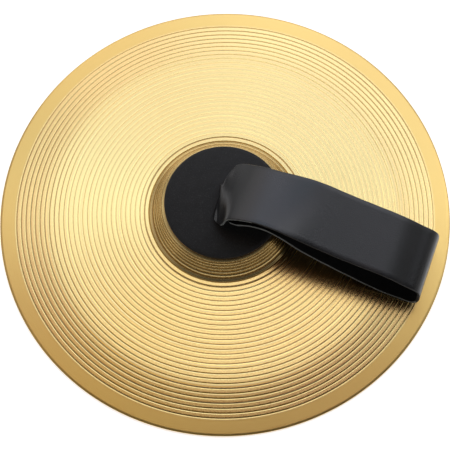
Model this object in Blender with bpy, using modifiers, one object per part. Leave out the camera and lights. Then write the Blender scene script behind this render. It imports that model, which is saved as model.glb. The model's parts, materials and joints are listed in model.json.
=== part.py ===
"""Hand cymbal with a leather hand strap: lathed brass plate, bell pad, strap loop and the fastening inside the bell.

Frame: origin at the centre of the rim's flat underside, +Z up through the bell, +X along the strap.
Units are metres. Every driving dimension is a named constant below.
"""
import bpy
import bmesh
import math
from mathutils import Vector, Matrix

MM = 0.001
GAP = 0.3 * MM                 # clearance between neighbouring pieces

# ---- cymbal plate ----
RIM_R = 127.0 * MM             # ten inch plate
PLATE_T = 1.0 * MM             # sheet thickness
RIM_FLAT_R = 118.6 * MM        # inner edge of the flat rim band
BOW_H = 10.4 * MM              # rise of the bow from the rim band to the bell's foot
BOW_POWER = 1.25
BELL_FOOT_R = 41.0 * MM
BELL_SHOULDER_R = 34.0 * MM
DOME_TOP = 27.6 * MM           # top of the bell above the rim's upper face
DOME_R = 130.0 * MM            # radius of the bell's crown
HOLE_R = 10.0 * MM
STEPS = 64

# ---- bell pad ----
PAD_R = 33.0 * MM
PAD_T = 2.6 * MM
PAD_EDGE_ROUND = 0.7 * MM
SLOT_HALF_X = 2.7 * MM
SLOT_HALF_Y = 8.5 * MM

# ---- strap ----
STRAP_W = 36.0 * MM
STRAP_T = 2.0 * MM
TAIL_W = 16.0 * MM
LAYER_X = 1.15 * MM            # each tail's mid plane, either side of the slot's middle
SHOULDER_START = 1.6 * MM      # along the strip from the fold
SHOULDER_END = 12.0 * MM
HINGE_Z = 33.9 * MM            # fold line of the strap over the slot
KNUCKLE_R = 2.1 * MM
STRAP_DRIFT = 2.5 * MM         # the loop leans this far sideways
DRIFT_RUN = 35.0 * MM
STRAP_TWIST = math.radians(7.0)   # one edge rides higher near the crest
CREST_X = 27.0 * MM
CREST_Z = 50.6 * MM
BEND_X = 118.2 * MM            # furthest reach of the loop's round end, mid thickness
BEND_Z = 18.0 * MM
LIE_X = 111.5 * MM             # where the loop's end lies on the plate
LIE_Z = 3.9 * MM
STRIP_ROWS = 64

# ---- fastening inside the bell ----
FELT_R = 17.0 * MM
FELT_BOTTOM = 24.0 * MM
WASHER_R = 12.5 * MM
WASHER_T = 1.0 * MM
INNER_SLOT_HALF_X = 3.5 * MM
PIN_R = 1.5 * MM
PIN_HALF = 15.2 * MM
EYELET_BORE = 1.8 * MM
EYELET_BARREL = 2.2 * MM
EYELET_FLANGE_R = 3.6 * MM
EYELET_FLANGE_T = 0.6 * MM
CAP_R = 2.7 * MM
CAP_LEN = 3.4 * MM
TAIL_BOTTOM = 12.5 * MM

for old in list(bpy.data.objects):
    bpy.data.objects.remove(old, do_unlink=True)

PARTS = bpy.data.collections.new("hand_cymbal")
CUTTERS = bpy.data.collections.new("cutters")
bpy.context.scene.collection.children.link(PARTS)
bpy.context.scene.collection.children.link(CUTTERS)


def material(name, colour, roughness, metallic):
    mat = bpy.data.materials.new(name)
    mat.use_nodes = True
    bsdf = mat.node_tree.nodes["Principled BSDF"]
    bsdf.inputs["Base Color"].default_value = (*colour, 1.0)
    bsdf.inputs["Roughness"].default_value = roughness
    bsdf.inputs["Metallic"].default_value = metallic
    mat.diffuse_color = (*colour, 1.0)
    return mat


BRASS = material("brass", (0.78, 0.58, 0.25), 0.28, 1.0)
PAD_BLACK = material("pad_black", (0.022, 0.022, 0.023), 0.75, 0.0)
LEATHER = material("strap_leather", (0.012, 0.012, 0.014), 0.45, 0.0)
FELT = material("felt", (0.25, 0.24, 0.22), 0.95, 0.0)
STEEL = material("steel", (0.62, 0.62, 0.63), 0.3, 1.0)
NICKEL = material("nickel", (0.7, 0.68, 0.64), 0.22, 1.0)


def place(obj, mat, collection=PARTS):
    collection.objects.link(obj)
    if mat is not None:
        obj.data.materials.append(mat)
    return obj


def cutter(obj):
    CUTTERS.objects.link(obj)
    obj.hide_render = True
    obj.display_type = 'WIRE'
    return obj


def turned(name, profile, mat, steps=STEPS, closed=False, axis='Z'):
    """A profile of (radius, height) points, outer side top to bottom, spun with a Screw modifier."""
    bm = bmesh.new()
    verts = [bm.verts.new((r, 0.0, z)) for r, z in profile]
    for a, b in zip(verts, verts[1:]):
        bm.edges.new((a, b))
    if closed:
        bm.edges.new((verts[-1], verts[0]))
    me = bpy.data.meshes.new(name)
    bm.to_mesh(me)
    bm.free()
    obj = bpy.data.objects.new(name, me)
    place(obj, mat)
    screw = obj.modifiers.new("spin", 'SCREW')
    screw.axis = 'Z'
    screw.steps = steps
    screw.render_steps = steps
    screw.use_merge_vertices = True
    screw.merge_threshold = 0.00001
    screw.use_smooth_shade = True
    return obj


def smoothstep(t):
    t = min(1.0, max(0.0, t))
    return t * t * (3.0 - 2.0 * t)


def hermite(p0, m0, p1, m1, t):
    t2, t3 = t * t, t * t * t
    return ((2 * t3 - 3 * t2 + 1) * p0 + (t3 - 2 * t2 + t) * m0
            + (-2 * t3 + 3 * t2) * p1 + (t3 - t2) * m1)


# ---------------------------------------------------------------- cymbal plate
def dome_z(r):
    """Upper face of the bell's crown, above the rim's upper face."""
    return DOME_TOP - (DOME_R - math.sqrt(DOME_R * DOME_R - r * r))


def bow_z(r):
    u = max(0.0, (r - BELL_FOOT_R) / (RIM_FLAT_R - BELL_FOOT_R))
    return BOW_H * (1.0 - u ** BOW_POWER)


def plate_profile():
    """Upper face of the plate from the centre hole out to the rim, as (radius, height)."""
    pts = []
    n = 4
    for i in range(n):
        r = HOLE_R + (BELL_SHOULDER_R - HOLE_R) * i / (n - 1)
        pts.append((r, PLATE_T + dome_z(r)))
    # the bell's side: from the crown's shoulder down to the foot, then out into the bow
    r0, z0 = BELL_SHOULDER_R, dome_z(BELL_SHOULDER_R)
    s0 = -r0 / math.sqrt(DOME_R * DOME_R - r0 * r0)
    mid_r, mid_z, mid_s = 37.0 * MM, 17.4 * MM, -2.15
    foot_r = 42.2 * MM
    foot_z = bow_z(foot_r)
    foot_s = (bow_z(foot_r + 0.1 * MM) - bow_z(foot_r - 0.1 * MM)) / (0.2 * MM)
    for (ra, za, sa, rb, zb, sb, count) in ((r0, z0, s0, mid_r, mid_z, mid_s, 4),
                                            (mid_r, mid_z, mid_s, foot_r, foot_z, foot_s, 5)):
        for i in range(1, count + 1):
            t = i / count
            pts.append((ra + (rb - ra) * t,
                        PLATE_T + hermite(za, sa * (rb - ra), zb, sb * (rb - ra), t)))
    n = 6
    for i in range(1, n + 1):
        r = foot_r + (RIM_FLAT_R - foot_r) * i / n
        pts.append((r, PLATE_T + bow_z(r)))
    pts.append((RIM_R, PLATE_T))
    return pts


plate = turned("cymbal_plate", plate_profile(), BRASS)
shell = plate.modifiers.new("sheet", 'SOLIDIFY')
shell.thickness = PLATE_T
shell.offset = -1.0
shell.use_even_offset = True


def crown_top(r):
    """Upper face of the bell in the part's frame."""
    return PLATE_T + dome_z(r)


# ---------------------------------------------------------------- slot cutter
def slot_cutter(name, half_x, half_y, z_low, z_high, corner=0.5 * MM):
    """A straight slot with small corner rounds, long side along Y."""
    curve = bpy.data.curves.new(name, 'CURVE')
    curve.dimensions = '2D'
    curve.fill_mode = 'BOTH'
    curve.extrude = (z_high - z_low) / 2.0
    pts = []
    count = 3
    for quarter, (sx, sy) in enumerate(((1, 1), (-1, 1), (-1, -1), (1, -1))):
        for i in range(count + 1):
            a = math.pi / 2 * (quarter + i / count)
            pts.append((sx * (half_x - corner) + corner * math.cos(a),
                        sy * (half_y - corner) + corner * math.sin(a)))
    spline = curve.splines.new('POLY')
    spline.points.add(len(pts) - 1)
    for p, (x, y) in zip(spline.points, pts):
        p.co = (x, y, 0.0, 1.0)
    spline.use_cyclic_u = True
    temp = bpy.data.objects.new(name + "_outline", curve)
    bpy.context.scene.collection.objects.link(temp)
    temp.location = (0.0, 0.0, (z_low + z_high) / 2.0)
    return mesh_from_curve(temp, name)


def mesh_from_curve(temp, name):
    """The curve's evaluated mesh with its caps welded, under the curve's own transform."""
    deps = bpy.context.evaluated_depsgraph_get()
    bpy.context.view_layer.update()
    me = bpy.data.meshes.new_from_object(temp.evaluated_get(deps))
    bm = bmesh.new()
    bm.from_mesh(me)
    bmesh.ops.remove_doubles(bm, verts=bm.verts, dist=1e-6)
    bmesh.ops.recalc_face_normals(bm, faces=bm.faces)
    bm.to_mesh(me)
    bm.free()
    me.name = name
    obj = bpy.data.objects.new(name, me)
    obj.matrix_world = temp.matrix_world.copy()
    bpy.data.objects.remove(temp, do_unlink=True)
    return obj


pad_slot = cutter(slot_cutter("pad_slot", SLOT_HALF_X, SLOT_HALF_Y, 24.0 * MM, 36.0 * MM))
inner_slot = cutter(slot_cutter("inner_slot", INNER_SLOT_HALF_X, SLOT_HALF_Y + 0.6 * MM,
                                19.0 * MM, 29.5 * MM))


def cut(obj, tool):
    mod = obj.modifiers.new("slot", 'BOOLEAN')
    mod.operation = 'DIFFERENCE'
    mod.solver = 'EXACT'
    mod.object = tool


# ---------------------------------------------------------------- bell pad
def pad_profile():
    base = PLATE_T + GAP
    pts = []
    n = 5
    r_in = PAD_R - PAD_EDGE_ROUND
    for i in range(n + 1):
        r = r_in * i / n
        pts.append((r, base + dome_z(r) + PAD_T))
    z_edge = base + dome_z(PAD_R)
    for i in range(1, 4):
        a = math.pi / 2 * i / 3
        pts.append((r_in + PAD_EDGE_ROUND * math.sin(a),
                    z_edge + PAD_T - PAD_EDGE_ROUND * (1 - math.cos(a))))
    for i in range(n + 1):
        r = PAD_R * (n - i) / n
        pts.append((r, base + dome_z(r)))
    return pts


bell_pad = turned("bell_pad", pad_profile(), PAD_BLACK, steps=48)
cut(bell_pad, pad_slot)

# ---------------------------------------------------------------- strap
def curve_route():
    """The strip's mid line in the XZ plane, from the outer tail's fold, over the top, round the
    far end and back underneath to the inner tail's fold: cubic pieces through a few named points,
    each given by position and the direction the leather runs in there."""
    deg = math.radians
    knots = [
        # x, z, heading (degrees from +X, towards +Z), stiffness in, stiffness out
        (-LAYER_X, HINGE_Z, 88, 0, 3.6 * MM),
        (3.6 * MM, 40.9 * MM, 41, 4.0 * MM, 10.0 * MM),
        (CREST_X, CREST_Z, 2, 12.0 * MM, 22.0 * MM),
        (77.0 * MM, 39.4 * MM, -15.5, 26.0 * MM, 17.0 * MM),
        (107.5 * MM, 30.0 * MM, -28, 13.0 * MM, 8.5 * MM),
        (BEND_X, BEND_Z, -90, 9.0 * MM, 9.5 * MM),
        (LIE_X, LIE_Z, -191, 6.5 * MM, 5.0 * MM),
        (85.0 * MM, 12.3 * MM, -206, 16.0 * MM, 17.0 * MM),
        (46.0 * MM, 35.4 * MM, -211, 18.0 * MM, 12.0 * MM),
        (25.0 * MM, 44.0 * MM, -183, 9.5 * MM, 7.0 * MM),
        (8.6 * MM, 39.1 * MM, -156, 8.0 * MM, 4.0 * MM),
        (LAYER_X, HINGE_Z, -92, 4.2 * MM, 0),
    ]
    pts = []
    for (x0, z0, h0, _, out), (x1, z1, h1, inn, _) in zip(knots, knots[1:]):
        b0 = Vector((x0, z0))
        b3 = Vector((x1, z1))
        b1 = b0 + Vector((math.cos(deg(h0)), math.sin(deg(h0)))) * out
        b2 = b3 - Vector((math.cos(deg(h1)), math.sin(deg(h1)))) * inn
        n = 40
        for i in range(n):
            t = i / n
            pts.append((1 - t) ** 3 * b0 + 3 * (1 - t) ** 2 * t * b1
                       + 3 * (1 - t) * t * t * b2 + t ** 3 * b3)
    pts.append(Vector((knots[-1][0], knots[-1][1])))
    return pts


def resample(pts, stations):
    """Points at the given distances along the polyline."""
    run = [0.0]
    for a, b in zip(pts, pts[1:]):
        run.append(run[-1] + (b - a).length)
    out = []
    j = 0
    for s in stations:
        while j < len(run) - 2 and run[j + 1] < s:
            j += 1
        seg = run[j + 1] - run[j]
        t = 0.0 if seg == 0 else (s - run[j]) / seg
        out.append(pts[j].lerp(pts[j + 1], min(1.0, max(0.0, t))))
    return out


def route_length(pts):
    return sum((b - a).length for a, b in zip(pts, pts[1:]))


def strip_stations(total):
    """Closer rows at both folds and round the far end."""
    fine = [0.0, SHOULDER_START]
    n = 7
    for i in range(1, n + 1):
        fine.append(SHOULDER_START + (SHOULDER_END - SHOULDER_START) * i / n)
    rest = STRIP_ROWS - 2 * len(fine)
    a, b = SHOULDER_END, total - SHOULDER_END
    mid = [a + (b - a) * i / (rest + 1) for i in range(1, rest + 1)]
    return fine + mid + [total - s for s in reversed(fine)]


def half_width(s, total):
    e = min(s, total - s)
    t = (e - SHOULDER_START) / (SHOULDER_END - SHOULDER_START)
    t = min(1.0, max(0.0, t))
    return (TAIL_W + (STRAP_W - TAIL_W) * t) / 2.0


def sideways(x):
    return STRAP_DRIFT * smoothstep(x / DRIFT_RUN)


def twist(x):
    return STRAP_TWIST * smoothstep((x - 6 * MM) / (16 * MM)) * (1.0 - smoothstep((x - 32 * MM) / (26 * MM)))


route = curve_route()
total = route_length(route)
stations = strip_stations(total)
centres = resample(route, stations)

bm = bmesh.new()
rows = []
for s, c in zip(stations, centres):
    h = half_width(s, total)
    tw = twist(c.x)
    # the near edge (-Y) rides higher where the strip twists
    across = Vector((0.0, math.cos(tw), -math.sin(tw)))
    centre = Vector((c.x, sideways(c.x), c.y))
    rows.append([bm.verts.new(centre - across * h), bm.verts.new(centre + across * h)])
for (a0, a1), (b0, b1) in zip(rows, rows[1:]):
    bm.faces.new((a0, a1, b1, b0))
bmesh.ops.recalc_face_normals(bm, faces=bm.faces)
me = bpy.data.meshes.new("strap_loop")
# the hinge axis is the object's origin
for v in bm.verts:
    v.co -= Vector((0.0, 0.0, HINGE_Z))
bm.to_mesh(me)
bm.free()
strap = bpy.data.objects.new("strap_loop", me)
strap.location = (0.0, 0.0, HINGE_Z)
place(strap, LEATHER)
thick = strap.modifiers.new("leather", 'SOLIDIFY')
thick.thickness = STRAP_T
thick.offset = 0.0
thick.use_even_offset = True

bpy.ops.mesh.primitive_cylinder_add(vertices=20, radius=KNUCKLE_R, depth=TAIL_W - 1.0 * MM,
                                    location=(0.0, 0.0, HINGE_Z), rotation=(math.pi / 2, 0.0, 0.0))
knuckle = bpy.context.active_object
knuckle.name = "fold_core"
for c in list(knuckle.users_collection):
    c.objects.unlink(knuckle)
cutter(knuckle)
join = strap.modifiers.new("fold", 'BOOLEAN')
join.operation = 'UNION'
join.solver = 'EXACT'
join.object = knuckle


def tail(name, side):
    """One narrow end of the strip, from just under the fold down into the bell."""
    top = HINGE_Z - 2.2 * MM - GAP
    h = TAIL_W / 2.0
    r = 4.0 * MM
    pin_z = pin_centre()
    curve = bpy.data.curves.new(name, 'CURVE')
    curve.dimensions = '2D'
    curve.fill_mode = 'BOTH'
    curve.extrude = STRAP_T / 2.0
    outline = [(-h, top), (-h, TAIL_BOTTOM + r)]
    for i in range(1, 7):
        a = math.pi + math.pi / 2 * i / 6
        outline.append((-h + r + r * math.cos(a), TAIL_BOTTOM + r + r * math.sin(a)))
    for i in range(0, 7):
        a = 1.5 * math.pi + math.pi / 2 * i / 6
        outline.append((h - r + r * math.cos(a), TAIL_BOTTOM + r + r * math.sin(a)))
    outline.append((h, top))
    hole_r = EYELET_BARREL + GAP
    hole = [(hole_r * math.cos(2 * math.pi * i / 20), pin_z + hole_r * math.sin(2 * math.pi * i / 20))
            for i in range(20)]
    for ring in (outline, hole):
        spline = curve.splines.new('POLY')
        spline.points.add(len(ring) - 1)
        for p, (y, z) in zip(spline.points, ring):
            p.co = (y, z, 0.0, 1.0)
        spline.use_cyclic_u = True
    obj = bpy.data.objects.new(name, curve)
    # local X, Y, Z become the frame's Y, Z, X
    obj.matrix_world = Matrix(((0, 0, 1, side * LAYER_X), (1, 0, 0, 0), (0, 1, 0, 0), (0, 0, 0, 1)))
    return place(obj, LEATHER)


def washer_bottom():
    return FELT_BOTTOM - GAP - WASHER_T


def pin_centre():
    return washer_bottom() - GAP - PIN_R


tail("strap_tail_outer", -1)
tail("strap_tail_inner", 1)

# ---------------------------------------------------------------- fastening inside the bell
def felt_profile():
    pts = []
    n = 3
    for i in range(n + 1):
        r = FELT_R * i / n
        pts.append((r, dome_z(r) - GAP))
    pts.append((FELT_R, FELT_BOTTOM))
    pts.append((0.0, FELT_BOTTOM))
    return pts


felt = turned("inner_felt_washer", felt_profile(), FELT, steps=32)
cut(felt, inner_slot)

w_top = FELT_BOTTOM - GAP
washer = turned("steel_washer", [(0.0, w_top), (WASHER_R - 0.2 * MM, w_top), (WASHER_R, w_top - 0.2 * MM),
                                 (WASHER_R, washer_bottom() + 0.2 * MM),
                                 (WASHER_R - 0.2 * MM, washer_bottom()), (0.0, washer_bottom())],
                STEEL, steps=40)
cut(washer, inner_slot)

ALONG_X = Matrix.Rotation(math.pi / 2, 4, 'Y')      # an object's own Z turned onto +X
at_pin = Matrix.Translation((0.0, 0.0, pin_centre()))

half = LAYER_X + STRAP_T / 2.0 + GAP
outer = half + EYELET_FLANGE_T
eyelet = turned("tail_eyelet", [
    (EYELET_FLANGE_R - 0.2 * MM, outer), (EYELET_FLANGE_R, outer - 0.2 * MM), (EYELET_FLANGE_R, half),
    (EYELET_BARREL, half), (EYELET_BARREL, -half), (EYELET_FLANGE_R, -half),
    (EYELET_FLANGE_R, -outer + 0.2 * MM), (EYELET_FLANGE_R - 0.2 * MM, -outer),
    (EYELET_BORE, -outer), (EYELET_BORE, outer)], NICKEL, steps=20, closed=True)
eyelet.matrix_world = at_pin @ ALONG_X

bpy.ops.mesh.primitive_cylinder_add(vertices=24, radius=PIN_R, depth=2 * PIN_HALF)
pin = bpy.context.active_object
for c in list(pin.users_collection):
    c.objects.unlink(pin)
pin.name = "cross_pin"
pin.data.name = "cross_pin"
place(pin, STEEL)
pin.matrix_world = at_pin @ ALONG_X
pin.data.shade_smooth()
pin.data.set_sharp_from_angle(angle=math.radians(40))
chamfer = pin.modifiers.new("chamfer", 'BEVEL')
chamfer.width = 0.25 * MM
chamfer.segments = 1
chamfer.limit_method = 'ANGLE'


def cap_profile():
    """A domed push-on cap over the pin's end, open towards the middle of the pin."""
    bore = PIN_R + GAP
    crown = PIN_HALF + GAP + 0.9 * MM
    mouth = crown - CAP_LEN
    return [(0.0, crown), (1.2 * MM, crown - 0.12 * MM), (2.0 * MM, crown - 0.45 * MM),
            (2.35 * MM, crown - 1.0 * MM), (2.35 * MM, mouth + 0.8 * MM), (CAP_R, mouth + 0.8 * MM),
            (CAP_R, mouth), (bore, mouth), (bore, PIN_HALF + GAP), (0.0, PIN_HALF + GAP)]


for name, flip in (("pin_cap_right", 1), ("pin_cap_left", -1)):
    cap = turned(name, cap_profile(), STEEL, steps=16)
    cap.matrix_world = at_pin @ Matrix.Rotation(0.0 if flip > 0 else math.pi, 4, 'Z') @ ALONG_X
for face_obj in (plate, bell_pad, felt, washer, eyelet):
    face_obj.data.shade_smooth()
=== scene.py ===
import bpy
import bmesh
import json
import math
import random
from mathutils import Vector, Matrix


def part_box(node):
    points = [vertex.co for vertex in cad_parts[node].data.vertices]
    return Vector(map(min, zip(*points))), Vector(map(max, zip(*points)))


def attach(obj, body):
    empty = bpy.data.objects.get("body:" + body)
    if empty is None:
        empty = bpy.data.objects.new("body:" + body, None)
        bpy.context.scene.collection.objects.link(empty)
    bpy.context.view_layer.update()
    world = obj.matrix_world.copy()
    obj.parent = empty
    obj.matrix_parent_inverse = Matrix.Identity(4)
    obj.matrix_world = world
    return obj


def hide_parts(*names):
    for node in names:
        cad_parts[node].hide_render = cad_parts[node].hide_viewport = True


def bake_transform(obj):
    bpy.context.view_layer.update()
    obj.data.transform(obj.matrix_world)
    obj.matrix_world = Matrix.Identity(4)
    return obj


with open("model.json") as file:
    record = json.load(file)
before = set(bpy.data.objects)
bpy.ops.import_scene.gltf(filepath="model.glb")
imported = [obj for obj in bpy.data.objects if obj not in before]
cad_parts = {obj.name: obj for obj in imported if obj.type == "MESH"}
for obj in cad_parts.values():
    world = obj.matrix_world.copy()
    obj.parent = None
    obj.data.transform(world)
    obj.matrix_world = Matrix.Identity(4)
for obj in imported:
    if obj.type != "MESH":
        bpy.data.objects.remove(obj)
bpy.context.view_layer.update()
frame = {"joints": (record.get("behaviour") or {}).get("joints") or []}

MM = 0.001
SCENE = bpy.context.scene
RNG = random.Random(11)

# ------------------------------------------------------------------ the frame's own sizes
plate_low, plate_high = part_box("cymbal_plate")
pad_low, pad_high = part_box("bell_pad")
JOINTS = {j["name"]: j for j in frame["joints"]}
HINGE_Z = JOINTS["strap_lift"]["pos_m"][2]
RIM_R = plate_high.x
PLATE_T = 1.0 * MM

# the same shape rules as the CAD model
BOW_SLOPE = 0.106               # nearly straight bow
RIM_SLOPE = 0.172               # bends down towards the rim, and the smooth band keeps on
BEND_FROM = 92.0 * MM
BEND_TO = 108.0 * MM
BELL_SHOULDER_R = 34.0 * MM
DOME_TOP = 27.6 * MM
DOME_R = 130.0 * MM
HOLE_R = 10.0 * MM
GAP = 0.3 * MM


# ------------------------------------------------------------------ small helpers
def link(obj):
    SCENE.collection.objects.link(obj)
    return obj


def smoothstep(t):
    t = min(1.0, max(0.0, t))
    return t * t * (3.0 - 2.0 * t)


def hermite(p0, m0, p1, m1, t):
    t2, t3 = t * t, t * t * t
    return ((2 * t3 - 3 * t2 + 1) * p0 + (t3 - 2 * t2 + t) * m0
            + (-2 * t3 + 3 * t2) * p1 + (t3 - t2) * m1)


def smooth(obj, angle=40):
    obj.data.shade_smooth()
    obj.data.set_sharp_from_angle(angle=math.radians(angle))
    return obj


def lathe(name, rings, segments, closed=True, axis_matrix=None, values=None):
    """A turned mesh from (radius, height) points. A radius of 0 closes on the axis.
    values, one per point, go into the float attribute "cut"."""
    bm = bmesh.new()
    layer = bm.verts.layers.float.new("cut") if values else None
    loops = []
    for k, (r, z) in enumerate(rings):
        if r < 1e-7:
            ring = [bm.verts.new((0.0, 0.0, z))]
        else:
            ring = [bm.verts.new((r * math.cos(2 * math.pi * i / segments),
                                  r * math.sin(2 * math.pi * i / segments), z))
                    for i in range(segments)]
        if layer:
            for v in ring:
                v[layer] = values[k]
        loops.append(ring)
    pairs = list(zip(loops, loops[1:]))
    if closed and len(loops[0]) > 1 and len(loops[-1]) > 1:
        pairs.append((loops[-1], loops[0]))
    for a, b in pairs:
        for i in range(segments):
            j = (i + 1) % segments
            if len(a) == 1 and len(b) == 1:
                continue
            if len(a) == 1:
                bm.faces.new((a[0], b[i], b[j]))
            elif len(b) == 1:
                bm.faces.new((a[j], a[i], b[0]))
            else:
                bm.faces.new((a[i], b[i], b[j], a[j]))
    bmesh.ops.recalc_face_normals(bm, faces=bm.faces)
    me = bpy.data.meshes.new(name)
    bm.to_mesh(me)
    bm.free()
    obj = link(bpy.data.objects.new(name, me))
    if axis_matrix is not None:
        obj.data.transform(axis_matrix)
    return obj


def slot_tool(half_x, half_y, z_low, z_high, corner):
    pts = []
    count = 6
    for quarter, (sx, sy) in enumerate(((1, 1), (-1, 1), (-1, -1), (1, -1))):
        for i in range(count + 1):
            a = math.pi / 2 * (quarter + i / count)
            pts.append((sx * (half_x - corner) + corner * math.cos(a),
                        sy * (half_y - corner) + corner * math.sin(a)))
    bm = bmesh.new()
    low = [bm.verts.new((x, y, z_low)) for x, y in pts]
    high = [bm.verts.new((x, y, z_high)) for x, y in pts]
    n = len(pts)
    for i in range(n):
        j = (i + 1) % n
        bm.faces.new((low[i], low[j], high[j], high[i]))
    bm.faces.new(list(reversed(low)))
    bm.faces.new(high)
    bmesh.ops.recalc_face_normals(bm, faces=bm.faces)
    me = bpy.data.meshes.new("slot_tool")
    bm.to_mesh(me)
    bm.free()
    return link(bpy.data.objects.new("slot_tool", me))


def apply_modifiers(obj):
    deps = bpy.context.evaluated_depsgraph_get()
    bpy.context.view_layer.update()
    me = bpy.data.meshes.new_from_object(obj.evaluated_get(deps))
    obj.modifiers.clear()
    obj.data = me
    return obj


def cut_slot(obj, half_x, half_y, z_low, z_high, corner):
    tool = slot_tool(half_x, half_y, z_low, z_high, corner)
    mod = obj.modifiers.new("slot", 'BOOLEAN')
    mod.operation = 'DIFFERENCE'
    mod.solver = 'EXACT'
    mod.object = tool
    apply_modifiers(obj)
    bpy.data.objects.remove(tool, do_unlink=True)
    return obj


# ------------------------------------------------------------------ materials
class Nodes:
    """A short way to write a node tree."""

    def __init__(self, name):
        self.mat = bpy.data.materials.new(name)
        self.mat.use_nodes = True
        self.tree = self.mat.node_tree
        self.bsdf = self.tree.nodes["Principled BSDF"]

    def new(self, kind, **props):
        n = self.tree.nodes.new(kind)
        for k, v in props.items():
            setattr(n, k, v)
        return n

    def link(self, a, b):
        self.tree.links.new(a, b)

    def put(self, socket, value):
        if hasattr(value, "links") or hasattr(value, "is_linked"):
            self.link(value, socket)
        else:
            socket.default_value = value

    def math(self, op, a, b=None, c=None, clamp=False):
        n = self.new("ShaderNodeMath", operation=op)
        n.use_clamp = clamp
        for s, v in zip(n.inputs, (a, b, c)):
            if v is not None:
                self.put(s, v)
        return n.outputs[0]

    def ramp(self, value, stops, interpolation='LINEAR'):
        n = self.new("ShaderNodeValToRGB")
        n.color_ramp.interpolation = interpolation
        els = n.color_ramp.elements
        while len(els) > 1:
            els.remove(els[-1])
        for k, (pos, col) in enumerate(stops):
            e = els[0] if k == 0 else els.new(pos)
            e.position = pos
            e.color = (*col, 1.0) if len(col) == 3 else col
        self.link(value, n.inputs[0])
        return n.outputs[0]

    def mix(self, factor, a, b, blend='MIX'):
        n = self.new("ShaderNodeMix", data_type='RGBA', blend_type=blend)
        self.put(n.inputs[0], factor)
        for s, v in ((n.inputs[6], a), (n.inputs[7], b)):
            if isinstance(v, tuple):
                s.default_value = (*v, 1.0) if len(v) == 3 else v
            else:
                self.link(v, s)
        return n.outputs[2]

    def range(self, value, a, b, c, d):
        n = self.new("ShaderNodeMapRange")
        n.clamp = True
        self.put(n.inputs[0], value)
        for s, v in zip(n.inputs[1:5], (a, b, c, d)):
            s.default_value = v
        return n.outputs[0]

    def noise(self, vector, scale, detail=2.0, rough=0.5, dims='3D'):
        n = self.new("ShaderNodeTexNoise", noise_dimensions=dims)
        if dims == '1D':
            self.link(vector, n.inputs["W"])
        elif vector is not None:
            self.link(vector, n.inputs["Vector"])
        n.inputs["Scale"].default_value = scale
        n.inputs["Detail"].default_value = detail
        n.inputs["Roughness"].default_value = rough
        return n.outputs["Fac"]

    def bump(self, height, strength, distance, normal=None):
        n = self.new("ShaderNodeBump")
        n.inputs["Strength"].default_value = strength
        n.inputs["Distance"].default_value = distance
        self.link(height, n.inputs["Height"])
        if normal is not None:
            self.link(normal, n.inputs["Normal"])
        return n.outputs["Normal"]


def radius_socket(n):
    """The distance from the cymbal's axis in metres, and the object coordinates."""
    tex = n.new("ShaderNodeTexCoord")
    sep = n.new("ShaderNodeSeparateXYZ")
    n.link(tex.outputs["Object"], sep.inputs[0])
    xx = n.math('MULTIPLY', sep.outputs[0], sep.outputs[0])
    r2 = n.math('MULTIPLY_ADD', sep.outputs[1], sep.outputs[1], xx)
    return n.math('SQRT', r2), tex.outputs["Object"], sep


def brass_material():
    n = Nodes("lathed_brass")
    b = n.bsdf
    r, obj, sep = radius_socket(n)
    attr = n.new("ShaderNodeAttribute", attribute_name="cut")
    cut = attr.outputs["Fac"]
    # fine turning marks: noise that only varies with the radius
    fine = n.noise(r, 5200.0, 3.0, 0.65, dims='1D')
    mid = n.noise(r, 900.0, 2.0, 0.5, dims='1D')
    broad = n.noise(obj, 14.0, 2.0, 0.5)
    band = n.range(r, 0.1180, 0.1187, 0.0, 1.0)           # the smooth rim band
    base = n.mix(broad, (0.735, 0.535, 0.225), (0.755, 0.560, 0.250))
    base = n.mix(n.math('MULTIPLY', fine, 0.12), base, (0.68, 0.455, 0.160))
    base = n.mix(band, base, (0.680, 0.470, 0.160))
    # painted shade: the grooves darken to a deep brown with their depth (the cut attribute), standing in for the shade
    # that falls in them
    base = n.mix(n.math('MULTIPLY', cut, 0.95), base, (0.34, 0.20, 0.055))
    n.link(base, b.inputs["Base Color"])
    b.inputs["Metallic"].default_value = 1.0
    rough = n.range(mid, 0.3, 0.7, 0.225, 0.275)
    rough = n.math('ADD', rough, n.math('MULTIPLY', band, 0.05))
    n.link(rough, b.inputs["Roughness"])
    b.inputs["Anisotropic"].default_value = 0.50
    b.inputs["Anisotropic Rotation"].default_value = 0.25
    tangent = n.new("ShaderNodeTangent", direction_type='RADIAL', axis='Z')
    n.link(tangent.outputs[0], b.inputs["Tangent"])
    height = n.math('ADD', n.math('MULTIPLY', fine, 0.6), n.math('MULTIPLY', mid, 0.4))
    n.link(n.bump(height, 0.22, 0.00012), b.inputs["Normal"])
    return n.mat


def pad_material():
    n = Nodes("pad_black")
    b = n.bsdf
    tex = n.new("ShaderNodeTexCoord")
    obj = tex.outputs["Object"]
    grain = n.noise(obj, 1500.0, 4.0, 0.62)
    coarse = n.noise(obj, 160.0, 2.0, 0.5)
    col = n.mix(coarse, (0.0150, 0.0150, 0.0155), (0.0235, 0.0232, 0.0238))
    col = n.mix(n.range(grain, 0.52, 0.72, 0.0, 0.65), col, (0.052, 0.052, 0.053))
    n.link(col, b.inputs["Base Color"])
    n.link(n.range(grain, 0.3, 0.7, 0.62, 0.80), b.inputs["Roughness"])
    b.inputs["Specular IOR Level"].default_value = 0.20
    n.link(n.bump(grain, 0.5, 0.00025, n.bump(coarse, 0.25, 0.0006)), b.inputs["Normal"])
    return n.mat


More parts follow.
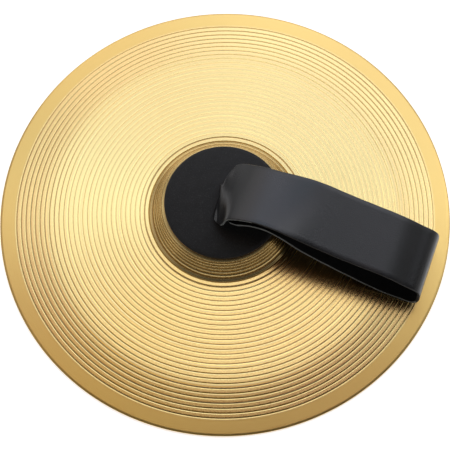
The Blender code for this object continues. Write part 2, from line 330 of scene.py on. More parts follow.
def leather_material(name, colour_low, colour_high, rough_low, rough_high, pebble, strength, spec=0.5):
    n = Nodes(name)
    b = n.bsdf
    tex = n.new("ShaderNodeTexCoord")
    obj = tex.outputs["Object"]
    vor = n.new("ShaderNodeTexVoronoi", feature='DISTANCE_TO_EDGE')
    warp = n.noise(obj, 260.0, 2.0, 0.5)
    vec = n.new("ShaderNodeVectorMath", operation='ADD')
    n.link(obj, vec.inputs[0])
    scaled = n.new("ShaderNodeVectorMath", operation='SCALE')
    comb = n.new("ShaderNodeCombineXYZ")
    for s in comb.inputs:
        n.link(warp, s)
    n.link(comb.outputs[0], scaled.inputs[0])
    scaled.inputs["Scale"].default_value = 0.0012
    n.link(scaled.outputs[0], vec.inputs[1])
    n.link(vec.outputs[0], vor.inputs["Vector"])
    vor.inputs["Scale"].default_value = pebble
    cell = n.range(vor.outputs["Distance"], 0.0, 0.22, 0.0, 1.0)
    pores = n.noise(obj, 2400.0, 3.0, 0.6)
    cloud = n.noise(obj, 46.0, 3.0, 0.55)
    col = n.mix(cloud, colour_low, colour_high)
    col = n.mix(n.math('MULTIPLY', n.math('SUBTRACT', 1.0, cell), 0.35), col, (0.004, 0.004, 0.004))
    n.link(col, b.inputs["Base Color"])
    n.link(n.range(n.math('ADD', n.math('MULTIPLY', cloud, 0.6), n.math('MULTIPLY', pores, 0.4)),
                   0.3, 0.7, rough_low, rough_high), b.inputs["Roughness"])
    b.inputs["Specular IOR Level"].default_value = spec
    height = n.math('ADD', n.math('MULTIPLY', cell, 0.65), n.math('MULTIPLY', pores, 0.35))
    n.link(n.bump(height, strength, 0.00012), b.inputs["Normal"])
    return n.mat


def edge_material(name, low, high, nick):
    """The raw cut edge: grey fibres with fine nicks."""
    n = Nodes(name)
    b = n.bsdf
    tex = n.new("ShaderNodeTexCoord")
    obj = tex.outputs["Object"]
    fibre = n.noise(obj, 1900.0, 4.0, 0.7)
    patch = n.noise(obj, 120.0, 3.0, 0.6)
    col = n.mix(fibre, low, high)
    col = n.mix(n.range(patch, 0.60, 0.70, 0.0, 0.9), col, nick)
    n.link(col, b.inputs["Base Color"])
    n.link(n.range(fibre, 0.3, 0.7, 0.6, 0.85), b.inputs["Roughness"])
    b.inputs["Specular IOR Level"].default_value = 0.35
    n.link(n.bump(fibre, 0.6, 0.0002), b.inputs["Normal"])
    return n.mat


def flesh_material():
    """The strap's inner, unfinished face: dark suede."""
    n = Nodes("leather_flesh_side")
    b = n.bsdf
    tex = n.new("ShaderNodeTexCoord")
    obj = tex.outputs["Object"]
    nap = n.noise(obj, 1300.0, 4.0, 0.7)
    cloud = n.noise(obj, 70.0, 3.0, 0.6)
    col = n.mix(nap, (0.0028, 0.0027, 0.0026), (0.0085, 0.0082, 0.0080))
    col = n.mix(n.math('MULTIPLY', cloud, 0.4), col, (0.0025, 0.0025, 0.0025))
    n.link(col, b.inputs["Base Color"])
    n.link(n.range(nap, 0.3, 0.7, 0.82, 0.95), b.inputs["Roughness"])
    b.inputs["Specular IOR Level"].default_value = 0.12
    n.link(n.bump(nap, 0.7, 0.0003), b.inputs["Normal"])
    return n.mat


def metal_material(name, colour, rough_low, rough_high, aniso=0.0, scratch=900.0, axis='Z'):
    n = Nodes(name)
    b = n.bsdf
    tex = n.new("ShaderNodeTexCoord")
    obj = tex.outputs["Object"]
    fine = n.noise(obj, scratch, 4.0, 0.6)
    cloud = n.noise(obj, 90.0, 3.0, 0.5)
    dark = tuple(c * 0.78 for c in colour)
    col = n.mix(n.math('MULTIPLY', cloud, 0.7), colour, dark)
    n.link(col, b.inputs["Base Color"])
    b.inputs["Metallic"].default_value = 1.0
    n.link(n.range(n.math('ADD', n.math('MULTIPLY', fine, 0.5), n.math('MULTIPLY', cloud, 0.5)),
                   0.35, 0.65, rough_low, rough_high), b.inputs["Roughness"])
    b.inputs["Anisotropic"].default_value = aniso
    n.link(n.bump(fine, 0.12, 0.0001), b.inputs["Normal"])
    return n.mat


def felt_material():
    n = Nodes("pressed_felt")
    b = n.bsdf
    tex = n.new("ShaderNodeTexCoord")
    obj = tex.outputs["Object"]
    fibre = n.noise(obj, 1100.0, 5.0, 0.75)
    cloud = n.noise(obj, 240.0, 3.0, 0.6)
    col = n.mix(fibre, (0.045, 0.044, 0.042), (0.13, 0.126, 0.12))
    col = n.mix(n.math('MULTIPLY', cloud, 0.4), col, (0.06, 0.058, 0.055))
    n.link(col, b.inputs["Base Color"])
    n.link(n.range(fibre, 0.3, 0.7, 0.9, 1.0), b.inputs["Roughness"])
    b.inputs["Specular IOR Level"].default_value = 0.15
    b.inputs["Sheen Weight"].default_value = 0.25
    b.inputs["Sheen Roughness"].default_value = 0.5
    n.link(n.bump(fibre, 0.9, 0.0005), b.inputs["Normal"])
    return n.mat


# ------------------------------------------------------------------ cymbal plate
def dome_z(r):
    return DOME_TOP - (DOME_R - math.sqrt(DOME_R * DOME_R - r * r))


def bow_slope(r):
    return BOW_SLOPE + (RIM_SLOPE - BOW_SLOPE) * smoothstep((r - BEND_FROM) / (BEND_TO - BEND_FROM))


def bow_table():
    """Height over radius, from the rim inwards, summed from the slope."""
    step = 0.1 * MM
    table = [0.0]
    r = RIM_R
    while r > 40.0 * MM:
        table.append(table[-1] + bow_slope(r - step / 2) * step)
        r -= step
    return table, step


BOW_TABLE, BOW_STEP = bow_table()


def bow_z(r):
    k = (RIM_R - r) / BOW_STEP
    i = min(len(BOW_TABLE) - 2, max(0, int(k)))
    return BOW_TABLE[i] + (BOW_TABLE[i + 1] - BOW_TABLE[i]) * (k - i)


FOOT_R = 42.2 * MM
MID_R, MID_Z, MID_S = 37.0 * MM, 17.4 * MM, -2.15


def top_z(r):
    """Upper face of the plate above z = 0, without grooves."""
    if r <= BELL_SHOULDER_R:
        return PLATE_T + dome_z(r)
    if r >= FOOT_R:
        return PLATE_T + bow_z(r)
    r0, z0 = BELL_SHOULDER_R, dome_z(BELL_SHOULDER_R)
    s0 = -r0 / math.sqrt(DOME_R * DOME_R - r0 * r0)
    foot_s = (bow_z(FOOT_R + 0.1 * MM) - bow_z(FOOT_R - 0.1 * MM)) / (0.2 * MM)
    if r < MID_R:
        ra, za, sa, rb, zb, sb = r0, z0, s0, MID_R, MID_Z, MID_S
    else:
        ra, za, sa, rb, zb, sb = MID_R, MID_Z, MID_S, FOOT_R, bow_z(FOOT_R), foot_s
    t = (r - ra) / (rb - ra)
    return PLATE_T + hermite(za, sa * (rb - ra), zb, sb * (rb - ra), t)


def surface_points(step):
    """(radius, height, run) along the upper face from the hole to the rim, at equal steps."""
    fine = []
    run = 0.0
    last = None
    k = 0
    n = 12000
    for i in range(n + 1):
        r = HOLE_R + (RIM_R - HOLE_R) * i / n
        z = top_z(r)
        if last is not None:
            run += math.hypot(r - last[0], z - last[1])
        last = (r, z)
        fine.append((r, z, run))
    return fine


FINE = surface_points(0.1 * MM)


def run_of_radius(r):
    lo, hi = 0, len(FINE) - 1
    while hi - lo > 1:
        m = (lo + hi) // 2
        if FINE[m][0] < r:
            lo = m
        else:
            hi = m
    return FINE[hi][2]


def at_run(s):
    lo, hi = 0, len(FINE) - 1
    while hi - lo > 1:
        m = (lo + hi) // 2
        if FINE[m][2] < s:
            lo = m
        else:
            hi = m
    a, b = FINE[lo], FINE[hi]
    t = 0.0 if b[2] == a[2] else (s - a[2]) / (b[2] - a[2])
    t = min(1.0, max(0.0, t))
    r, z = a[0] + (b[0] - a[0]) * t, a[1] + (b[1] - a[1]) * t
    dr, dz = b[0] - a[0], b[1] - a[1]
    d = math.hypot(dr, dz) or 1.0
    return r, z, (-dz / d, dr / d)          # the normal, pointing up and out


GROOVE_PITCH = 2.715 * MM       # along the surface
BELL_PITCH = 2.25 * MM          # the same down the bell's side
GROOVE_LAST_R = 117.6 * MM
GROOVE_W = 0.90 * MM


def groove_depth(r):
    """Shallow over the middle of the bow, deeper towards the rim and on the bell's side."""
    outer = smoothstep((r - 84.0 * MM) / (26.0 * MM))
    bell = 1.0 - smoothstep((r - 41.0 * MM) / (8.0 * MM))
    return (0.060 + 0.095 * outer + 0.24 * bell) * MM


def plate_rings():
    last = run_of_radius(GROOVE_LAST_R)
    foot = run_of_radius(41.6 * MM)
    count = int((last - foot) / GROOVE_PITCH)
    centres = [last - GROOVE_PITCH * k for k in range(count + 1)]
    low, high = run_of_radius(34.4 * MM), run_of_radius(40.2 * MM)
    count = int((high - low) / BELL_PITCH)
    centres += [high - BELL_PITCH * k for k in range(count + 1)]
    centres.reverse()
    total = FINE[-1][2]
    stations = []                            # (run, depth 0..1, mark)
    shape = [(-0.62, 0.0), (-0.5, 0.06), (-0.34, 0.50), (-0.20, 0.86), (-0.04, 1.0), (0.12, 0.88),
             (0.27, 0.50), (0.42, 0.08), (0.54, -0.07), (0.68, 0.0)]
    prev = 0.0
    for c in centres:
        width = GROOVE_W * (1.6 if c < foot - 0.5 * MM else 1.0)
        start = c + shape[0][0] * width
        gap = start - prev
        n = max(1, int(round(gap / (0.75 * MM)))) if prev > 0 else max(1, int(gap / (2.2 * MM)))
        for i in range(n):
            stations.append((prev + gap * i / n, 0.0))
        for off, dep in shape:
            stations.append((c + off * width, dep))
        prev = c + shape[-1][0] * width + 0.02 * MM
    n = 8
    edge = total - 0.5 * MM
    for i in range(n + 1):
        stations.append((prev + (edge - prev) * i / n, 0.0))
    rings, cuts = [], []
    for s, dep in stations:
        r, z, nrm = at_run(s)
        d = dep * groove_depth(r)
        rings.append((r - nrm[0] * d, z - nrm[1] * d))
        # the groove depth, which the brass material also uses to paint shade into the grooves
        cuts.append(max(0.0, dep) * d / (0.2 * MM))
    # rounded rim
    e = 0.5 * MM
    for k in range(1, 8):
        a = math.pi * k / 8
        rings.append((RIM_R - e + e * math.sin(a), PLATE_T / 2 + e * math.cos(a)))
        cuts.append(0.0)
    # the plain underside, back to the hole
    under = []
    steps = 74
    for i in range(steps + 1):
        s = total - 0.5 * MM - (total - 0.5 * MM) * i / steps
        r, z, nrm = at_run(s)
        under.append((max(r - nrm[0] * PLATE_T, HOLE_R), z - nrm[1] * PLATE_T))
    under = [(r, max(0.0, z)) for r, z in under]
    under[0] = (RIM_R - e, 0.0)
    for p in under:
        rings.append(p)
        cuts.append(0.0)
    return rings, cuts


rings, cuts = plate_rings()
brass = brass_material()
plate = lathe("cymbal_plate_turned", rings, 256, closed=True, values=cuts)
plate.data.materials.append(brass)
smooth(plate, 50)
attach(plate, "cymbal")
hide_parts("cymbal_plate")

# ------------------------------------------------------------------ bell pad
PAD_R = pad_high.x
PAD_T = 2.6 * MM


def pad_rings():
    base = PLATE_T + GAP
    e = 0.8 * MM
    pts = [(0.0, base + dome_z(0) + PAD_T)]
    r_in = PAD_R - e
    n = 22
    for i in range(1, n + 1):
        r = r_in * i / n
        pts.append((r, base + dome_z(r) + PAD_T - 0.10 * MM * (r / r_in) ** 6))
    z_edge = base + dome_z(PAD_R)
    for i in range(1, 6):
        a = math.pi / 2 * i / 5
        pts.append((r_in + e * math.sin(a), z_edge + PAD_T - 0.12 * MM - e * (1 - math.cos(a))))
    pts.append((PAD_R, z_edge + 0.9 * MM))
    pts.append((PAD_R - 0.08 * MM, z_edge + 0.3 * MM))
    for i in range(12):
        r = (PAD_R - 0.35 * MM) * (12 - i) / 12
        pts.append((r, base + dome_z(r)))
    pts.append((0.0, base + dome_z(0)))
    return pts


pad = lathe("bell_pad_disc", pad_rings(), 144, closed=False)
cut_slot(pad, 2.6 * MM, 8.45 * MM, 24.0 * MM, 36.0 * MM, 0.7 * MM)
pad.data.materials.clear()
pad.data.materials.append(pad_material())
smooth(pad, 45)
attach(pad, "strap_mount")
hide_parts("bell_pad")

# ------------------------------------------------------------------ strap
STRAP_T = 1.7 * MM
LAYER_X = 1.15 * MM
TAIL_BOTTOM = 12.5 * MM
STRAP_DRIFT = 2.5 * MM
DRIFT_RUN = 35.0 * MM
STRAP_TWIST = math.radians(12.5)


def strap_route():
    """The strip's mid line in the XZ plane: up the outer tail, over the top, round the far end,
    back underneath and down the inner tail."""
    deg = math.radians
    knots = [
        (-1.15, 12.5, 90, 0, 6.0),
        (-1.15, 30.2, 93, 6.0, 1.6),
        (-1.7, 35.0, 88, 2.4, 1.3),
        (-0.8, 38.0, 54, 1.3, 7.0),
        (27.0, 50.1, 0, 14.0, 20.0),
        (77.0, 39.4, -15.5, 26.0, 17.0),
        (107.5, 30.0, -28, 13.0, 8.5),
        (118.2, 18.4, -90, 9.0, 8.8),
        (111.5, 5.2, -191, 6.3, 5.0),
        (85.0, 12.9, -205.5, 16.0, 17.0),
        (46.0, 35.4, -211, 18.0, 12.0),
        (25.0, 44.0, -183, 9.5, 7.0),
        (8.6, 39.1, -156, 8.0, 4.0),
        (0.55, 34.0, -98, 3.4, 1.8),
        (1.15, 29.6, -90, 1.8, 6.0),
        (1.15, 12.5, -90, 6.0, 0),
    ]
    pts = []
    marks = []
    for (x0, z0, h0, _, out), (x1, z1, h1, inn, _) in zip(knots, knots[1:]):
        marks.append(len(pts))
        b0 = Vector((x0, z0)) * MM
        b3 = Vector((x1, z1)) * MM
        b1 = b0 + Vector((math.cos(deg(h0)), math.sin(deg(h0)))) * out * MM
        b2 = b3 - Vector((math.cos(deg(h1)), math.sin(deg(h1)))) * inn * MM
        n = 48
        for i in range(n):
            t = i / n
            pts.append((1 - t) ** 3 * b0 + 3 * (1 - t) ** 2 * t * b1
                       + 3 * (1 - t) * t * t * b2 + t ** 3 * b3)
    marks.append(len(pts))
    pts.append(Vector((knots[-1][0], knots[-1][1])) * MM)
    run = [0.0]
    for a, b in zip(pts, pts[1:]):
        run.append(run[-1] + (b - a).length)
    return pts, run, [run[m] for m in marks]


route, route_run, route_marks = strap_route()
STRIP_LEN = route_run[-1]


def route_at(s):
    lo, hi = 0, len(route_run) - 1
    while hi - lo > 1:
        m = (lo + hi) // 2
        if route_run[m] <= s:
            lo = m
        else:
            hi = m
    seg = route_run[hi] - route_run[lo]
    t = 0.0 if seg == 0 else min(1.0, max(0.0, (s - route_run[lo]) / seg))
    return route[lo].lerp(route[hi], t)


def fold_runs():
    """Where the strip passes the fold's height, on its way out and on its way back."""
    out = next(s for p, s in zip(route, route_run) if p.y >= HINGE_Z)
    back = next(s for p, s in reversed(list(zip(route, route_run))) if p.y >= HINGE_Z)
    return out, back


FOLD_OUT, FOLD_BACK = fold_runs()


NEAR_EDGE = ((-3.0, 8.0), (-2.0, 8.6), (-0.6, 11.6), (0.8, 14.4), (2.2, 16.4), (5.0, 18.2), (9.0, 18.6), (14.0, 18.1),
             (22.0, 17.1), (32.0, 16.5))
NEAR_BACK = ((-1.5, 8.0), (0.0, 8.2), (3.0, 9.5), (7.0, 13.0), (11.0, 17.0), (16.0, 18.0), (22.0, 17.1), (32.0, 16.5))
FAR_EDGE = ((-1.5, 8.0), (0.0, 7.7), (2.0, 5.9), (4.0, 4.6), (6.0, 5.4), (12.0, 18.4), (13.5, 19.6), (16.0, 20.0))


def along(table, e):
    e /= MM
    if e <= table[0][0]:
        return table[0][1] * MM
    for (a, va), (b, vb) in zip(table, table[1:]):
        if e <= b:
            return (va + (vb - va) * (e - a) / (b - a)) * MM
    return table[-1][1] * MM


def edge_offsets(s, x):
    """How far the near and the far edge lie from the strip's mid line, at run s."""
    e = min(s - FOLD_OUT, FOLD_BACK - s)
    near = along(NEAR_EDGE if s - FOLD_OUT < FOLD_BACK - s else NEAR_BACK, e) + sideways(x)
    far = along(FAR_EDGE, e) - sideways(x)
    end = min(s, STRIP_LEN - s)
    r = 4.0 * MM
    if end < r:                               # rounded tail ends
        cut = r - math.sqrt(max(0.0, r * r - (r - end) ** 2))
        near, far = near - cut, far - cut
    return near, far


def skew(s):
    """The fold lies a little askew above the pad."""
    e = (s - FOLD_OUT) / MM
    return -0.27 * smoothstep((e + 1.0) / 4.0) * (1.0 - smoothstep((e - 5.0) / 14.0))


def sideways(x):
    return STRAP_DRIFT * smoothstep(x / DRIFT_RUN)


def twist(x, z):
    return (STRAP_TWIST * smoothstep((x + 3 * MM) / (8 * MM)) * smoothstep((z - 31.5 * MM) / (5 * MM))
            * (1.0 - smoothstep((x - 24 * MM) / (34 * MM))))




def strap_mesh():
    stations = []
    s = 0.0
    corners = [FOLD_OUT + 6.0 * MM, FOLD_OUT + 12.0 * MM, FOLD_BACK - 12.0 * MM, FOLD_BACK - 6.0 * MM]
    while s < STRIP_LEN:
        stations.append(s)
        near_fold = min(abs(s - FOLD_OUT), abs(s - FOLD_BACK)) < 22 * MM
        end = min(s, STRIP_LEN - s)
        s += 0.35 * MM if end < 4.2 * MM else (0.6 * MM if near_fold else 1.25 * MM)
    stations.append(STRIP_LEN)
    for c in corners:
        k = min(range(len(stations)), key=lambda i: abs(stations[i] - c))
        stations[k] = c
    cols = 14
    h = STRAP_T / 2.0
    c = 0.34 * MM
    bm = bmesh.new()
    kinds = bm.faces.layers.int.new("kind")
    rows = []
    for s in stations:
        p = route_at(s)
        q0 = route_at(max(0.0, s - 0.25 * MM))
        q1 = route_at(min(STRIP_LEN, s + 0.25 * MM))
        t = (q1 - q0).normalized()
        up = Vector((-t.y, 0.0, t.x))         # the grain side, outward
        tw = twist(p.x, p.y)
        across = Vector((skew(s), math.cos(tw), -math.sin(tw)))
        centre = Vector((p.x, sideways(p.x), p.y))
        near, far = edge_offsets(s, p.x)
        # the edges were cut by hand: they wander a little
        wl = near + 0.08 * MM * math.sin(s / (7.1 * MM)) + 0.04 * MM * math.sin(s / (2.3 * MM) + 1.0)
        wr = far + 0.08 * MM * math.sin(s / (6.3 * MM) + 2.0) + 0.03 * MM * math.sin(s / (1.9 * MM))
        # painted shade: up to just past the fold's crest the outer tail's grain side takes the near-black matte
        # leather (kind 4), as that run lies in shadow
        grain = 4 if s < FOLD_OUT + 1.0 * MM else 0
        ring = []                             # (offset across, offset up, kind of the face after it)
        for i in range(cols + 1):
            u = -wl + c + (wl + wr - 2 * c) * i / cols
            crown = 0.0
            ring.append((u, h + crown, grain))
        for k in (1, 2):                      # rounded grain-side corner
            a = math.pi / 2 * k / 3
            ring.append((wr - c + c * math.sin(a), h - c + c * math.cos(a), grain))
        # the near cut edge from 30 mm past the fold to about the far end, and the far edge all along, take the darker
        # edge material with light nicks; the rest of the near edge is the grey cut edge
        near_edge_tone = 3 if 30 * MM < s - FOLD_OUT < (FOLD_BACK - FOLD_OUT) * 0.5 + 6 * MM else 1
        ring.append((wr, h - c, 3))
        ring.append((wr + 0.03 * MM, 0.0, 3))
        ring.append((wr, -h + c * 0.6, 3))
        ring.append((wr - c * 0.5, -h, 2))
        for i in range(1, cols):
            u = wr - c * 0.5 - (wl + wr - c) * i / cols
            ring.append((u, -h, 2))
        ring.append((-wl + c * 0.5, -h, near_edge_tone))
        ring.append((-wl, -h + c * 0.6, near_edge_tone))
        ring.append((-wl - 0.03 * MM, 0.0, near_edge_tone))
        ring.append((-wl, h - c, grain))
        for k in (2, 1):
            a = math.pi / 2 * k / 3
            ring.append((-wl + c - c * math.sin(a), h - c + c * math.cos(a), grain))
        rows.append(([bm.verts.new(centre + across * u + up * v) for u, v, _ in ring],
                     [k for _, _, k in ring]))
    n = len(rows[0][0])
    for (a, ka), (b, _) in zip(rows, rows[1:]):
        for i in range(n):
            j = (i + 1) % n
            f = bm.faces.new((a[i], a[j], b[j], b[i]))
            f[kinds] = ka[i]
    for ring, flip in ((rows[0][0], False), (rows[-1][0], True)):
        f = bm.faces.new(ring if flip else list(reversed(ring)))
        f[kinds] = 1
    bmesh.ops.recalc_face_normals(bm, faces=bm.faces)
    for f in bm.faces:
        f.material_index = f[kinds]
        f.smooth = True
    bm.faces.layers.int.remove(kinds)
    me = bpy.data.meshes.new("leather_strap")
    bm.to_mesh(me)
    bm.free()
    return me


strap = link(bpy.data.objects.new("leather_strap", strap_mesh()))
strap.data.materials.append(leather_material("leather_grain_side", (0.0042, 0.0042, 0.0050), (0.0075, 0.0075, 0.0085),
                                             0.25, 0.34, 950.0, 0.20, 0.5))
strap.data.materials.append(edge_material("leather_cut_edge", (0.070, 0.075, 0.074), (0.175, 0.186, 0.182),
                                          (0.040, 0.041, 0.042)))
strap.data.materials.append(flesh_material())
strap.data.materials.append(edge_material("leather_dark_edge", (0.006, 0.006, 0.0065), (0.018, 0.018, 0.019),
                                          (0.150, 0.156, 0.154)))
# kind 4: near-black matte leather, painted shade on the outer tail's rising run
strap.data.materials.append(leather_material("leather_painted_shade_tail", (0.0030, 0.0030, 0.0033), (0.0055, 0.0055, 0.0060),
                                             0.60, 0.72, 950.0, 0.20, 0.12))
smooth(strap, 50)
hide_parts("strap_loop", "strap_tail_outer", "strap_tail_inner")
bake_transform(strap)

# ------------------------------------------------------------------ fastening inside the bell
felt_low, felt_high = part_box("inner_felt_washer")
wash_low, wash_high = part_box("steel_washer")
pin_low, pin_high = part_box("cross_pin")
eye_low, eye_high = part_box("tail_eyelet")
pin_z = (pin_low.z + pin_high.z) / 2
TO_X = Matrix.Translation((0, 0, pin_z)) @ Matrix.Rotation(math.pi / 2, 4, 'Y')

FELT_R = felt_high.x
pts = [(0.0, dome_z(0) - GAP)]
for i in range(1, 13):
    r = (FELT_R - 0.5 * MM) * i / 12
    pts.append((r, dome_z(r) - GAP))
for i in range(1, 4):
    a = math.pi / 2 * i / 3
    pts.append((FELT_R - 0.5 * MM + 0.5 * MM * math.sin(a), dome_z(FELT_R) - GAP - 0.5 * MM * (1 - math.cos(a))))
for i in range(4):
    a = math.pi / 2 * i / 3
    pts.append((FELT_R - 0.5 * MM + 0.5 * MM * math.cos(a), felt_low.z + 0.5 * MM * (1 - math.sin(a))))
for i in range(1, 9):
    pts.append(((FELT_R - 0.5 * MM) * (8 - i) / 8, felt_low.z))
felt = lathe("felt_washer_soft", pts, 96, closed=False)
cut_slot(felt, 3.5 * MM, 9.1 * MM, 19.0 * MM, 29.5 * MM, 0.5 * MM)
felt.data.materials.clear()
felt.data.materials.append(felt_material())
smooth(felt, 45)
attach(felt, "strap_mount")
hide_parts("inner_felt_washer")

WR = wash_high.x
zt, zb = wash_high.z, wash_low.z
pts = [(0.0, zt), (WR * 0.5, zt), (WR - 0.25 * MM, zt), (WR - 0.08 * MM, zt - 0.07 * MM), (WR, zt - 0.25 * MM),
       (WR, zb + 0.25 * MM), (WR - 0.08 * MM, zb + 0.07 * MM), (WR - 0.25 * MM, zb), (WR * 0.5, zb), (0.0, zb)]
washer = lathe("washer_plated", pts, 112, closed=False)
cut_slot(washer, 3.5 * MM, 9.1 * MM, 19.0 * MM, 29.5 * MM, 0.5 * MM)
washer.data.materials.clear()
steel = metal_material("zinc_plated_steel", (0.62, 0.63, 0.65), 0.24, 0.40, 0.0, 1400.0)
washer.data.materials.append(steel)
smooth(washer, 30)
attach(washer, "strap_mount")
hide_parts("steel_washer")

half = LAYER_X + STRAP_T / 2.0 + GAP
flange = eye_high.y
pts = []
bore, barrel, thick = 1.8 * MM, 2.2 * MM, 0.6 * MM
rolled = []
for k in range(0, 9):                          # rolled flange on the +X side
    a = math.pi * k / 8
    rolled.append((flange - 0.3 * MM + 0.3 * MM * math.sin(a), half + 0.3 * MM + 0.3 * MM * math.cos(a)))
inner_top = [(bore, half + 0.15 * MM), (bore + 0.12 * MM, half + 0.42 * MM), (bore + 0.45 * MM, half + 0.58 * MM)]
side = inner_top + rolled + [(barrel, half)]
mirror = [(r, -z) for r, z in reversed(side)]
pts = side + mirror
eyelet = lathe("eyelet_rolled", pts, 72, closed=True, axis_matrix=TO_X)
eyelet.data.materials.append(metal_material("nickel_plate", (0.72, 0.70, 0.66), 0.14, 0.28, 0.0, 1200.0))
smooth(eyelet, 40)
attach(eyelet, "strap_mount")
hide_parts("tail_eyelet")

PR, PH = pin_high.y, pin_high.x
ch = 0.25 * MM
pts = [(0.0, PH), (PR - ch, PH), (PR - ch * 0.3, PH - ch * 0.3), (PR, PH - ch)]
for i in range(1, 12):
    pts.append((PR, PH - ch - (2 * PH - 2 * ch) * i / 12))
pts += [(PR, -PH + ch), (PR - ch * 0.3, -PH + ch * 0.3), (PR - ch, -PH), (0.0, -PH)]
pin = lathe("cross_pin_drawn", pts, 48, closed=False, axis_matrix=TO_X)
pin.data.materials.append(metal_material("drawn_steel", (0.58, 0.58, 0.60), 0.20, 0.34, 0.0, 1700.0))
smooth(pin, 35)
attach(pin, "strap_mount")
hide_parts("cross_pin")


def cap(name, node, sign):
    """A domed push-on cap with a flared skirt."""
    bore_r = PR + GAP
    crown = PH + GAP + 0.9 * MM
    mouth = crown - 3.4 * MM
    prof = [(0.0, crown)]
    for k in range(1, 8):
        a = math.pi / 2 * k / 7
        prof.append((2.35 * MM * math.sin(a), crown - 1.0 * MM + 1.0 * MM * math.cos(a)))
    prof += [(2.35 * MM, mouth + 1.0 * MM), (2.42 * MM, mouth + 0.85 * MM), (2.6 * MM, mouth + 0.78 * MM),
             (2.7 * MM, mouth + 0.62 * MM), (2.7 * MM, mouth + 0.15 * MM), (2.62 * MM, mouth),
             (bore_r + 0.1 * MM, mouth), (bore_r, mouth + 0.1 * MM), (bore_r, PH + GAP), (0.0, PH + GAP)]
    m = Matrix.Translation((0, 0, pin_z)) @ Matrix.Rotation(0.0 if sign > 0 else math.pi, 4, 'Z') \
        @ Matrix.Rotation(math.pi / 2, 4, 'Y')
    o = lathe(name, prof, 48, closed=False, axis_matrix=m)
    o.data.materials.append(steel)
    smooth(o, 35)
    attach(o, "strap_mount")
    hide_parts(node)
    return o


cap("push_cap_right", "pin_cap_right", 1)
cap("push_cap_left", "pin_cap_left", -1)

# ------------------------------------------------------------------ stage, light, camera
def floor():
    bpy.ops.mesh.primitive_plane_add(size=9.0, location=(0.0, 0.0, -0.0004))
    f = bpy.context.active_object
    f.name = "studio_floor"
    n = Nodes("studio_white")
    b = n.bsdf
    tex = n.new("ShaderNodeTexCoord")
    soft = n.noise(tex.outputs["Object"], 3.0, 2.0, 0.5)
    n.link(n.mix(soft, (0.93, 0.93, 0.93), (0.95, 0.95, 0.95)), b.inputs["Base Color"])
    b.inputs["Roughness"].default_value = 0.9
    b.inputs["Specular IOR Level"].default_value = 0.1
    b.inputs["Emission Color"].default_value = (1.0, 1.0, 1.0, 1.0)
    b.inputs["Emission Strength"].default_value = 0.60
    f.data.materials.append(n.mat)


floor()

VIEW_AZ = math.radians(22.0)       # the strap runs this far clockwise of the picture's right
VIEW_TILT = math.radians(20.188)   # from the plate's axis
VIEW_ROLL = math.radians(3.502)
VIEW_DIST = 1.27
ROT = Matrix.Rotation(VIEW_AZ, 3, 'Z')
right = ROT @ Vector((1, 0, 0))
up = ROT @ Vector((0, math.cos(VIEW_TILT), math.sin(VIEW_TILT)))
back = ROT @ Vector((0, -math.sin(VIEW_TILT), math.cos(VIEW_TILT)))
r2 = right * math.cos(VIEW_ROLL) - up * math.sin(VIEW_ROLL)
u2 = right * math.sin(VIEW_ROLL) + up * math.cos(VIEW_ROLL)
cam_data = bpy.data.cameras.new("camera")
cam = link(bpy.data.objects.new("camera", cam_data))
place = Vector((0, 0, PLATE_T)) + back * VIEW_DIST
m = Matrix((r2, u2, back)).transposed().to_4x4()
m.translation = place
cam.matrix_world = m
cam_data.sensor_width = 36.0
cam_data.sensor_fit = 'HORIZONTAL'
cam_data.lens = 36.0 * VIEW_DIST / (450.0 / 224.89 * 0.127)
cam_data.shift_x = 0.42 / 450.0
cam_data.shift_y = -7.45 / 450.0
cam_data.clip_start = 0.02
cam_data.clip_end = 20.0
SCENE.camera = cam


# Soft studio light: one big softbox leaning over the back of the plate, with warm edges, on a
# world background, and broad fill patches in the same world, most of them low down. Each softbox patch is
# (lean to the right, lean to the back, in degrees from overhead), colour.
SOFTBOX = (
    (-36, 0, (0.08, 0.04, 0.00)),
    (-24, 0, (0.21, 0.11, 0.00)),
    (-12, 0, (0.45, 0.25, 0.01)),
    (0, 0, (0.25, 0.08, 0.00)),
    (12, 0, (0.18, 0.00, 0.00)),
    (-24, 12, (0.37, 0.07, 0.00)),
    (-12, 12, (0.74, 0.72, 0.65)),
    (0, 12, (2.42, 2.55, 2.54)),
    (12, 12, (1.44, 1.30, 1.15)),
    (24, 12, (0.41, 0.40, 0.50)),
    (36, 12, (1.59, 1.66, 1.79)),
    (-36, 24, (0.21, 0.07, 0.00)),
    (-24, 24, (1.38, 1.29, 1.29)),
    (-12, 24, (1.07, 1.69, 2.19)),
    (0, 24, (0.54, 0.91, 1.13)),
    (12, 24, (0.24, 0.47, 0.63)),
    (24, 24, (0.00, 0.04, 0.27)),
    (36, 24, (3.12, 3.17, 3.31)),
    (-36, 36, (0.05, 0.04, 0.04)),
    (-24, 36, (0.17, 0.04, 0.00)),
    (-12, 36, (0.15, 0.02, 0.00)),
    (12, 36, (0.04, 0.04, 0.26)),
    (24, 36, (2.19, 2.20, 2.41)),
    (-24, 48, (1.13, 1.12, 1.12)),
    (-12, 48, (0.13, 0.00, 0.00)),
    (0, 48, (0.00, 0.11, 0.41)),
    (12, 48, (1.06, 1.11, 1.37)),
)
PATCH_POWER = 90.0                 # how tight one patch is
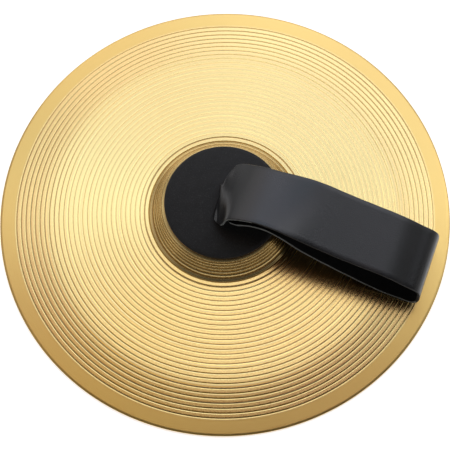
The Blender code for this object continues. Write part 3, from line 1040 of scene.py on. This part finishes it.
FILL = (                           # lean right, lean back, strength
    (0, 50, 1.55),
    (-50, 0, 0.06),
    (-35, -35, 0.03),
    (84, 0, 0.21),
    (65, 27, 0.80),
    (-65, 27, 0.80),
    (27, 66, 0.80),
    (-27, 66, 0.80),
    (70, -20, 0.60),
    (-70, -20, 0.60),
    (42, -60, 0.30),
    (0, -73, 0.30),
    (-42, -60, 0.30),
)
FILL_POWER = 20.0


def lean(x, y):
    """A direction from the plate, given how far it leans from overhead, in the picture's frame."""
    tilt = math.radians(math.hypot(x, y))
    turn = math.atan2(y, x)
    return ROT @ Vector((math.sin(tilt) * math.cos(turn), math.sin(tilt) * math.sin(turn), math.cos(tilt)))


world = bpy.data.worlds.new("studio_world")
world.use_nodes = True
SCENE.world = world
wt = world.node_tree
bg = wt.nodes["Background"]
coord = wt.nodes.new("ShaderNodeTexCoord")


def patch(direction, power, colour, total):
    dot = wt.nodes.new("ShaderNodeVectorMath")
    dot.operation = 'DOT_PRODUCT'
    wt.links.new(coord.outputs["Generated"], dot.inputs[0])
    dot.inputs[1].default_value = direction
    top = wt.nodes.new("ShaderNodeMath")
    top.operation = 'MAXIMUM'
    top.inputs[1].default_value = 0.0
    wt.links.new(dot.outputs["Value"], top.inputs[0])
    curve = wt.nodes.new("ShaderNodeMath")
    curve.operation = 'POWER'
    curve.inputs[1].default_value = power
    wt.links.new(top.outputs[0], curve.inputs[0])
    tint = wt.nodes.new("ShaderNodeVectorMath")
    tint.operation = 'SCALE'
    tint.inputs[0].default_value = colour
    wt.links.new(curve.outputs[0], tint.inputs["Scale"])
    if total is None:
        return tint.outputs[0]
    add = wt.nodes.new("ShaderNodeVectorMath")
    add.operation = 'ADD'
    wt.links.new(total, add.inputs[0])
    wt.links.new(tint.outputs[0], add.inputs[1])
    return add.outputs[0]


total = None
for x, y, colour in SOFTBOX:
    total = patch(lean(x, y), PATCH_POWER, colour, total)
for x, y, strength in FILL:
    total = patch(lean(x, y), FILL_POWER, (strength, strength, strength), total)
wt.links.new(total, bg.inputs[0])
bg.inputs[1].default_value = 1.0

SCENE.view_settings.view_transform = 'Standard'
SCENE.view_settings.look = 'None'
